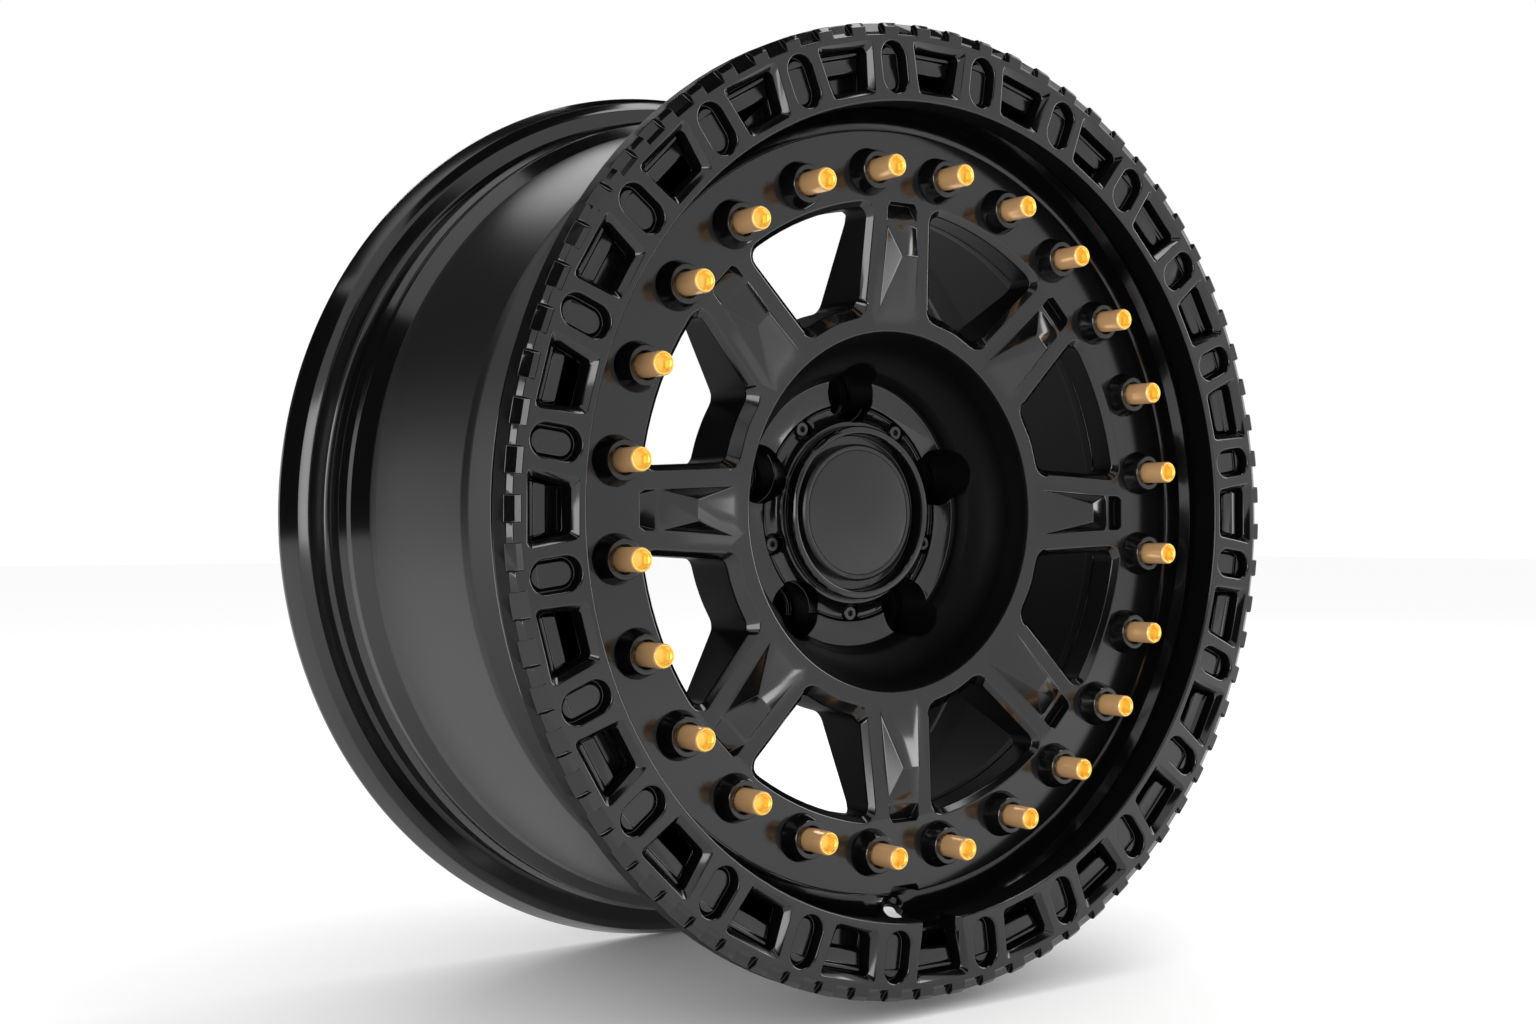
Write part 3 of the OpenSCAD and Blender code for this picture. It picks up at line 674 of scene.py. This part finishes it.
@dataclass
class Studio:
    """The photograph's camera, a plain white floor, black cards and soft lamps.

    Attributes:
        place: The camera's place.
        look: The direction it looks in.
        roll: Its turn about that direction, in radians.
        lens: Its focal length, in millimetres.
        sensor: Width of its sensor, in millimetres.
        ambient: Strength of the surround as light.
        floor_z: Height of the floor.
        floor_span: Width and depth of the floor.
    """

    place: Triple = (-0.6135, -0.82984, -0.01077)
    look: Triple = (0.58298, 0.81241, 0.01129)
    roll: float = -0.0022
    lens: float = 43.656
    sensor: float = 36.0
    ambient: float = 0.96
    floor_z: float = -0.2508
    floor_span: float = 28.0

    def camera(self) -> None:
        """Places the camera as it stood for the photograph."""
        data = bpy.data.cameras.new("photo_camera")
        data.lens, data.sensor_width = self.lens, self.sensor
        camera = bpy.data.objects.new("photo_camera", data)
        bpy.context.scene.collection.objects.link(camera)
        camera.location = self.place
        aim = Vector(self.look).to_track_quat("-Z", "Y").to_matrix()
        camera.rotation_euler = (aim @ Matrix.Rotation(self.roll, 3, "Z")).to_euler()
        bpy.context.scene.camera = camera

    def world(self) -> None:
        """A white surround: full white to the eye and to mirrors, a little less as light.

        Strength = ambient + (1 - ambient) * (1 for a camera, glossy or transmission ray, else 0).
        """
        world = bpy.data.worlds.new("white_surround")
        world.use_nodes = True
        bpy.context.scene.world = world
        n, link = world.node_tree.nodes, world.node_tree.links.new
        back = n["Background"]
        back.inputs["Color"].default_value = (1.0, 1.0, 1.0, 1.0)
        path = n.new("ShaderNodeLightPath")
        seen, mirror, level = (n.new("ShaderNodeMath") for _ in range(3))
        seen.operation = mirror.operation = "MAXIMUM"
        level.operation = "MULTIPLY_ADD"
        level.inputs[1].default_value = 1.0 - self.ambient
        level.inputs[2].default_value = self.ambient
        link(path.outputs["Is Camera Ray"], seen.inputs[0])
        link(path.outputs["Is Glossy Ray"], seen.inputs[1])
        link(seen.outputs[0], mirror.inputs[0])
        link(path.outputs["Is Transmission Ray"], mirror.inputs[1])
        link(mirror.outputs[0], level.inputs[0])
        link(level.outputs[0], back.inputs["Strength"])

    def floor(self) -> None:
        """A wide white floor under the wheel."""
        floor = panel("studio_floor", (self.floor_span, self.floor_span), colour=1.0, roughness=0.9)
        floor.location.z = self.floor_z

    def lamp(self, name: str, place: Triple, size: Pair, power: float) -> None:
        """Hangs one soft lamp that faces the wheel.

        Args:
            name: The lamp's name.
            place: Its place.
            size: Its width and height.
            power: Its power in watts.
        """
        data = bpy.data.lights.new(name, "AREA")
        data.shape, data.size, data.size_y, data.energy = "RECTANGLE", size[0], size[1], power
        lamp = bpy.data.objects.new(name, data)
        bpy.context.scene.collection.objects.link(lamp)
        lamp.location = place
        lamp.rotation_euler = (-Vector(place)).to_track_quat("-Z", "Y").to_euler()

    def flag(self, name: str, place: Triple, size: Pair) -> None:
        """Stands a black card that only mirrors see, which darkens the faces that look sideways.

        Args:
            name: The card's name.
            place: Its middle.
            size: Its width and height.
        """
        card = panel(name, size, colour=0.002, roughness=0.5)
        card.location = place
        card.rotation_euler = (-Vector(place)).to_track_quat("Z", "Y").to_euler()
        card.visible_camera = card.visible_diffuse = card.visible_shadow = False

    def build(self) -> None:
        """Sets up camera, surround, floor, cards and lamps."""
        scene = bpy.context.scene
        scene.view_settings.view_transform = "Standard"
        self.camera()
        self.world()
        self.floor()
        self.flag("black_card_left", (-3.3, 0.9, 0.6), (4.6, 4.4))
        self.flag("black_card_back", (0.2, 3.4, 2.2), (6.0, 3.4))
        self.flag("black_card_camera", (-1.55, -2.8, 0.3), (1.7, 4.0))
        self.flag("black_card_top", (0.7, -0.4, 3.1), (4.2, 3.6))
        self.lamp("left_softbox", (-2.45, -1.6, 0.15), (1.1, 1.9), 32.0)
        self.lamp("back_softbox", (0.5, 2.4, 1.65), (0.9, 0.8), 6.5)
        self.lamp("top_softbox", (1.1, -0.3, 2.4), (1.2, 0.8), 14.0)
        self.lamp("right_softbox", (2.5, -1.1, 0.8), (0.9, 1.6), 22.0)


def bolt_centres() -> np.ndarray:
    """Places of the assembly bolts; the first one is half a step from the X axis.

    Returns:
        Rows of X and Z, in millimetres.
    """
    angle = (np.arange(BOLT_COUNT) + 0.5) * 2 * math.pi / BOLT_COUNT
    return np.column_stack([np.cos(angle), np.sin(angle)]) * BOLT_CIRCLE


def barrel_profile() -> np.ndarray:
    """Section of the inner rim half: joint flange, well, cone, bead seat and rear lip.

    Returns:
        The closed section.
    """
    well_in, waist_in, barrel_in = WELL_R - WALL, WAIST_R - WALL, BARREL_R - WALL
    joint_and_inside = [
        (JOINT_R, JOINT_FACE, 0), (JOINT_R, JOINT_BACK, 0.5), (well_in - 8.5, JOINT_BACK, 4),
        (well_in, JOINT_BACK - 7, 4), (well_in, 50, 8), (well_in + 1.4, 40, 8),
        (waist_in - 1.4, 27.5, 8), (waist_in, 22, 8), (barrel_in, REAR_BEAD + 42, 12),
        (barrel_in, REAR_BEAD + 22, 5)]
    rear_lip = [
        (BARREL_R + 3, REAR_BEAD + 8, 3), (BARREL_R + 3, REAR_BEAD - 3, 3),
        (REAR_FLANGE_R - 9, REAR_FACE, 1.5), (REAR_FLANGE_R - 3.4, REAR_FACE, 2.6),
        (REAR_FLANGE_R, REAR_FACE + 3.45, 2.6), (REAR_FLANGE_R, REAR_FACE + 6.35, 2.5),
        (REAR_FLANGE_R - 4.5, REAR_BEAD - 4, 3), (REAR_FLANGE_R - 8, REAR_BEAD - 1, 2),
        (REAR_FLANGE_R - 9.5, REAR_BEAD, 1.5)]
    bead_seat = [
        (BEAD_R + 2, REAR_BEAD, 2), (BEAD_R, REAR_BEAD + 2, 1), (BEAD_R - 0.8, REAR_BEAD + 12, 1.5),
        (BEAD_R + 0.8, REAR_BEAD + 16.75, 1.5), (BEAD_R - 1.5, REAR_BEAD + 22, 1),
        (BEAD_R - 1.9, REAR_BEAD + 27, 2.5), (BARREL_R + 0.8, REAR_BEAD + 37, 2.5)]
    outside = [
        (BARREL_R, REAR_BEAD + 42, 5), (WAIST_R, 27, 6), (WAIST_R - 1.4, 31, 6),
        (WELL_R + 1.4, 43.5, 6), (WELL_R, 47.5, 6), (WELL_R, JOINT_FACE - 1.5, 1),
        (WELL_R - 1.5, JOINT_FACE, 1)]
    return rounded(joint_and_inside + rear_lip + bead_seat + outside)


def shade_inside(barrel: bpy.types.Object, wardrobe: Wardrobe) -> None:
    """Gives the barrel's inside a painted shade of dull near-black, and its bead seat and lip the gloss
    coat.

    Args:
        barrel: The inner rim half.
        wardrobe: The finishes.
    """
    mesh = barrel.data
    # Painted shade on the barrel's inside, which stands in shade
    mesh.materials.append(wardrobe.materials[Coat.SHADE])
    mesh.materials.append(wardrobe.materials[Coat.GLOSS])
    middle, normal = face_arrays(mesh)
    outward = middle * normal
    inside = outward[:, 0] + outward[:, 2] < INWARD
    lip = middle[:, 1] > RIDGE_BACK
    slots = np.where(inside, 1, np.where(lip, 2, 0))
    mesh.polygons.foreach_set("material_index", slots.astype(np.int32))
    mesh.update()


def collar_profile() -> np.ndarray:
    """Section of a bolt collar: flat foot, cone, flat top ring and the bore down to the head's seat.

    Returns:
        The closed section.
    """
    return rounded([
        (4.3, DISC_FACE, 0), (12.1, DISC_FACE, 0.2), (12.1, DISC_FACE + 0.8, 0.5),
        (9.6, COLLAR_TOP - 0.5, 0.5), (9.2, COLLAR_TOP, 0.3), (7.1, COLLAR_TOP, 0.3),
        (6.7, COLLAR_TOP - 0.5, 0.3), (6.25, HEAD_SEAT, 0.3), (4.3, HEAD_SEAT, 0.2)], steps=3)


def bolt_profile() -> np.ndarray:
    """Section of a bolt from its end to the socket's floor.

    Returns:
        The open section; its last rows are the socket.
    """
    outer = rounded([
        (3.2, BOLT_END, 0), (4, BOLT_END + 0.8, 0), (4, HEAD_SEAT, 0.2), (5.75, HEAD_SEAT, 0.2),
        (5.75, HEAD_TOP - 0.9, 0.9), (5.2, HEAD_TOP, 0.5), (4.75, HEAD_TOP, 0.25),
        (4.6, HEAD_TOP - 0.5, 0)], steps=3, closed=False)
    socket = np.array([
        (3.75, HEAD_TOP - 1.1), (3.7, HEAD_TOP - 2.4), (3.5, HEAD_TOP - 4.2), (0.05, HEAD_TOP - 4.4)])
    return np.vstack([outer, socket])


@dataclass
class Wheel:
    """The wheel's pieces and what each one wears.

    Attributes:
        rounded: Copies of CAD nodes with rounded edges.
        plain: CAD nodes that stay as they are, and their finishes.
        axle_steps: Steps round the barrel.
        collar_steps: Steps round a collar.
        bolt_steps: Steps round a bolt.
        socket_rows: Rows of a bolt's profile that are the socket.
        tip_rows: Rows of a bolt's profile that wear the head end's painted reflection in yellower gold.
    """

    rounded: tuple[RoundedNode, ...] = (
        RoundedNode("guard_ring", "guard_ring_body", Coat.GLOSS, radius=0.0005, steep=0.45),
        RoundedNode("centre_disc", "centre_disc_body", Coat.GLOSS, radius=0.0007, steep=0.45,
                    bowl=(0.06, 0.1)),
        RoundedNode("outer_rim_half", "outer_rim_body", Coat.GLOSS, radius=0.0004),
        RoundedNode("cap_body", "cap_shell", Coat.GLOSS, radius=0.0005),
        RoundedNode("cap_inset", "cap_plate", Coat.PLASTIC, radius=0.00025),
        RoundedNode("cap_screws", "cap_screw_heads", Coat.OXIDE, radius=0.0002),
    )
    plain: dict[str, Coat] = field(default_factory=lambda: {
        "rim_seal": Coat.RUBBER, "ring_screws": Coat.OXIDE,
        "rear_washers": Coat.ZINC, "rear_nuts": Coat.ZINC})
    axle_steps: int = 288
    collar_steps: int = 64
    bolt_steps: int = 48
    socket_rows: int = 4
    tip_rows: int = 13

    def build(self, wardrobe: Wardrobe) -> None:
        """Makes and dresses every piece.

        Args:
            wardrobe: The finishes.
        """
        axis, bolts = np.zeros((1, 2)), bolt_centres()
        for piece in self.rounded:
            piece.build(wardrobe)
        barrel = Turned("inner_rim_half", "inner_rim_body", Coat.SATIN, barrel_profile(), axis,
                        self.axle_steps).build(wardrobe)
        shade_inside(barrel, wardrobe)
        Turned("bolt_collars", "collar_bodies", Coat.GLOSS, collar_profile(), bolts,
               self.collar_steps).build(wardrobe)
        profile = bolt_profile()
        SocketBolts("assembly_bolts", "bolt_bodies", Coat.GOLD, profile, bolts, self.bolt_steps,
                    closed=False, rim=len(profile) - self.socket_rows,
                    tip=len(profile) - self.tip_rows).build(wardrobe)
        for node, coat in self.plain.items():
            wardrobe.dress(NODES[node], coat)


def main() -> None:
    """Builds the wheel's looks and the studio."""
    logging.basicConfig(level=logging.INFO, format="%(message)s")
    Studio().build()
    Wheel().build(Wardrobe())


if __name__ == "__main__":
    main()
